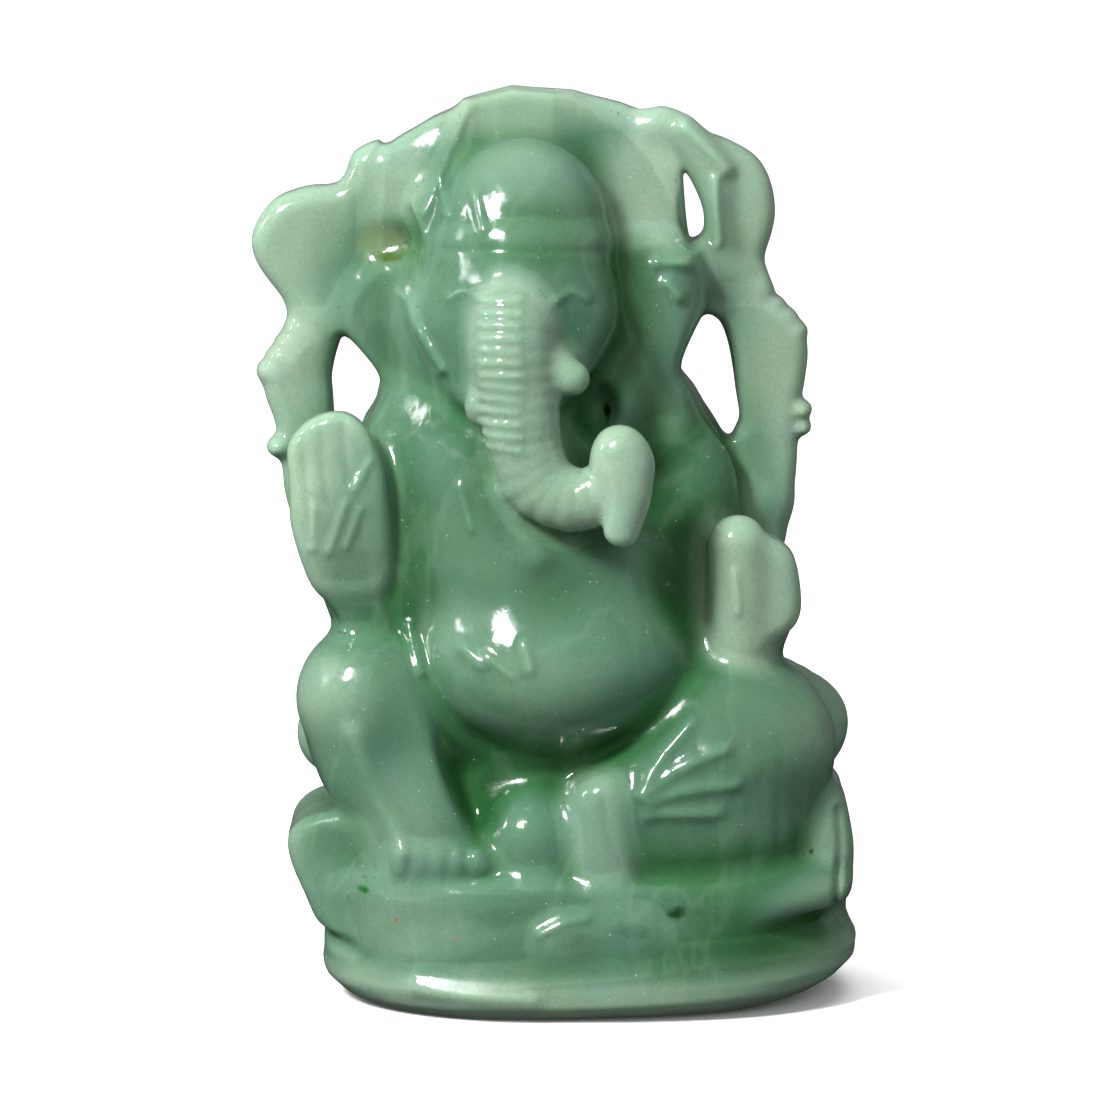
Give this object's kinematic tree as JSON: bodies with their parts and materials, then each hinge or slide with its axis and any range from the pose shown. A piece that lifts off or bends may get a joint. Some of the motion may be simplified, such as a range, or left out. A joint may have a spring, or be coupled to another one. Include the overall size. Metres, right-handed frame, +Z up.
{
  "type": "ganesha idol",
  "caption": "Palm-size seated four-armed elephant-headed devotional figure carved from polished green stone, on a lotus seat and plinth with a pierced back slab",
  "frame": {"origin": "centre of the plinth's flat underside", "axes": "+Z up, the idol faces -Y, its own right side is towards -X"},
  "size_m": [0.0599, 0.0344, 0.09],
  "materials": {
    "stone": "polished"
  },
  "bodies": {
    "root": {"plinth": "stone", "lotus_seat": "stone", "right_seat_petal": "stone", "left_seat_petal": "stone", "torso": "stone", "bolster": "stone", "right_leg": "stone", "right_foot": "stone", "left_leg": "stone", "left_foot": "stone", "dhoti_pleat": "stone", "back_slab": "stone", "head": "stone", "crown_band": "stone", "crown": "stone", "trunk": "stone", "trunk_sweet": "stone", "right_tusk": "stone", "left_tusk": "stone", "right_ear": "stone", "left_ear": "stone", "right_front_arm": "stone", "right_front_hand": "stone", "left_front_arm": "stone", "left_front_hand": "stone", "right_rear_arm": "stone", "right_rear_hand": "stone", "axe": "stone", "left_rear_arm": "stone", "left_rear_hand": "stone", "noose": "stone", "mouse": "stone"}
  },
  "joints": []
}
